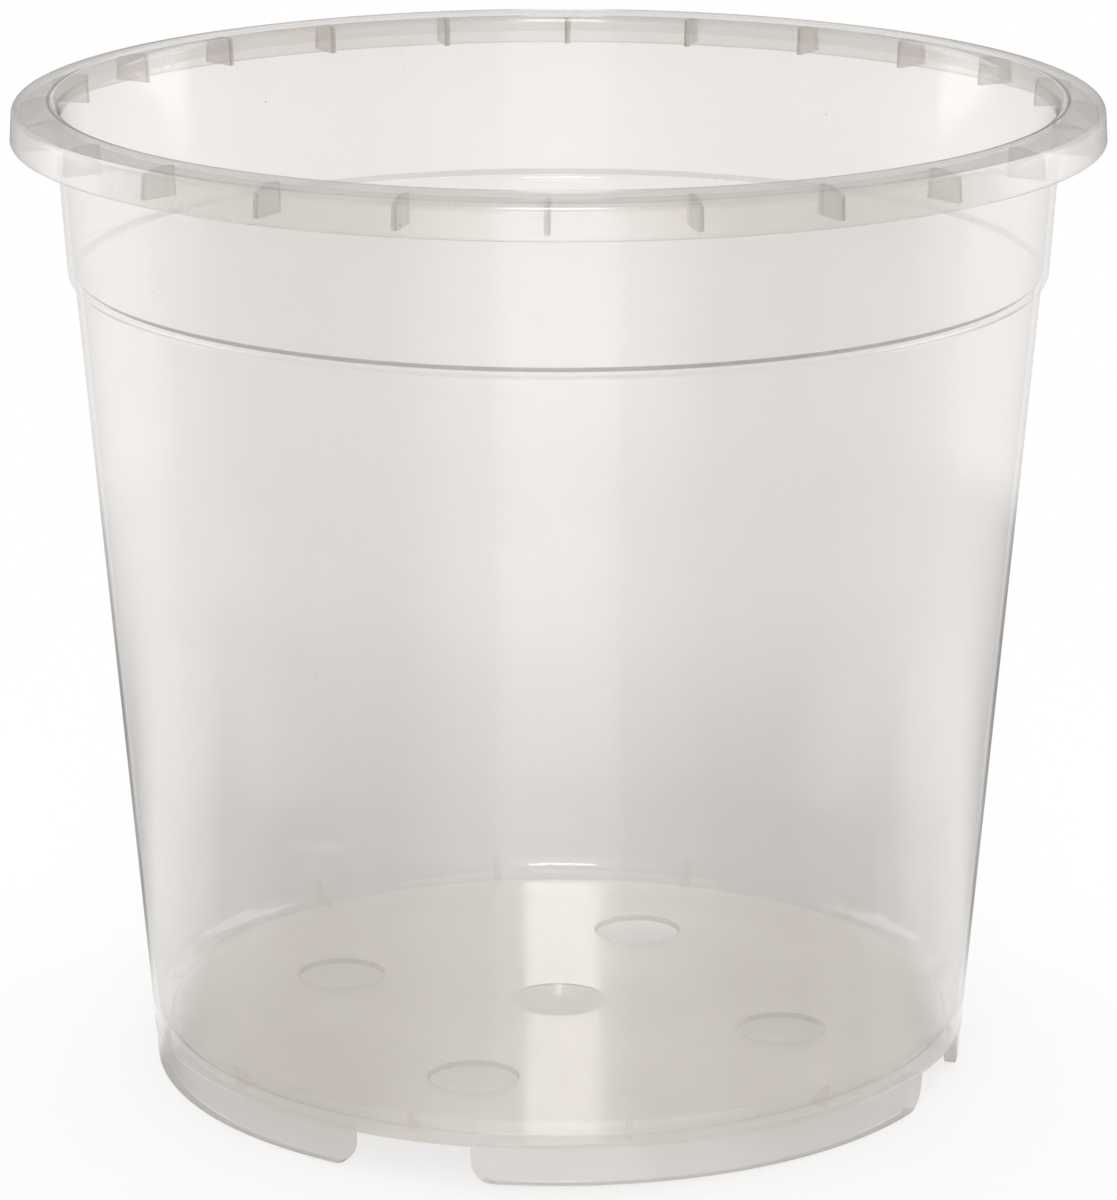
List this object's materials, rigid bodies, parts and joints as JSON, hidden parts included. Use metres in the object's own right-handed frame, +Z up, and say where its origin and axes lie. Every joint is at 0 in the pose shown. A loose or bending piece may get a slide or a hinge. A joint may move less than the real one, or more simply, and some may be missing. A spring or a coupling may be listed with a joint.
{
  "type": "orchid pot",
  "caption": "Round tapered clear plastic orchid pot with a stepped collar, a hollow webbed rim, a raised floor with drain holes, and slots cut through its foot.",
  "frame": {"origin": "centre of the ring on which the feet stand, at the ground", "axes": "+Z up along the pot's axis; one foot slot and one drain hole lie on each of +X, +Y, -X and -Y"},
  "size_m": [0.17, 0.17, 0.156],
  "materials": {
    "rim_plastic": "natural clear polypropylene, glossy, reads greyest where it is thick and webbed",
    "wall_plastic": "natural clear polypropylene wall, glossy, slightly hazy",
    "floor_plastic": "natural clear polypropylene floor, satin gloss, slightly hazy",
    "foot_plastic": "natural clear polypropylene foot, satin, thicker and greyer than the wall"
  },
  "bodies": {
    "root": {"collar": "wall_plastic", "floor_plate": "floor_plastic", "floor_rib_01": "floor_plastic", "floor_rib_02": "floor_plastic", "floor_rib_03": "floor_plastic", "floor_rib_04": "floor_plastic", "floor_rib_05": "floor_plastic", "floor_rib_06": "floor_plastic", "floor_rib_07": "floor_plastic", "floor_rib_08": "floor_plastic", "floor_rib_09": "floor_plastic", "floor_rib_10": "floor_plastic", "floor_rib_11": "floor_plastic", "floor_rib_12": "floor_plastic", "foot_1": "foot_plastic", "foot_2": "foot_plastic", "foot_3": "foot_plastic", "foot_4": "foot_plastic", "gate_dome": "floor_plastic", "heel": "foot_plastic", "rim_skirt": "rim_plastic", "rim_top": "rim_plastic", "rim_web_01": "rim_plastic", "rim_web_02": "rim_plastic", "rim_web_03": "rim_plastic", "rim_web_04": "rim_plastic", "rim_web_05": "rim_plastic", "rim_web_06": "rim_plastic", "rim_web_07": "rim_plastic", "rim_web_08": "rim_plastic", "rim_web_09": "rim_plastic", "rim_web_10": "rim_plastic", "rim_web_11": "rim_plastic", "rim_web_12": "rim_plastic", "rim_web_13": "rim_plastic", "rim_web_14": "rim_plastic", "rim_web_15": "rim_plastic", "rim_web_16": "rim_plastic", "rim_web_17": "rim_plastic", "rim_web_18": "rim_plastic", "rim_web_19": "rim_plastic", "rim_web_20": "rim_plastic", "rim_web_21": "rim_plastic", "rim_web_22": "rim_plastic", "rim_web_23": "rim_plastic", "rim_web_24": "rim_plastic", "shoulder": "wall_plastic", "side_wall": "wall_plastic"}
  },
  "joints": []
}
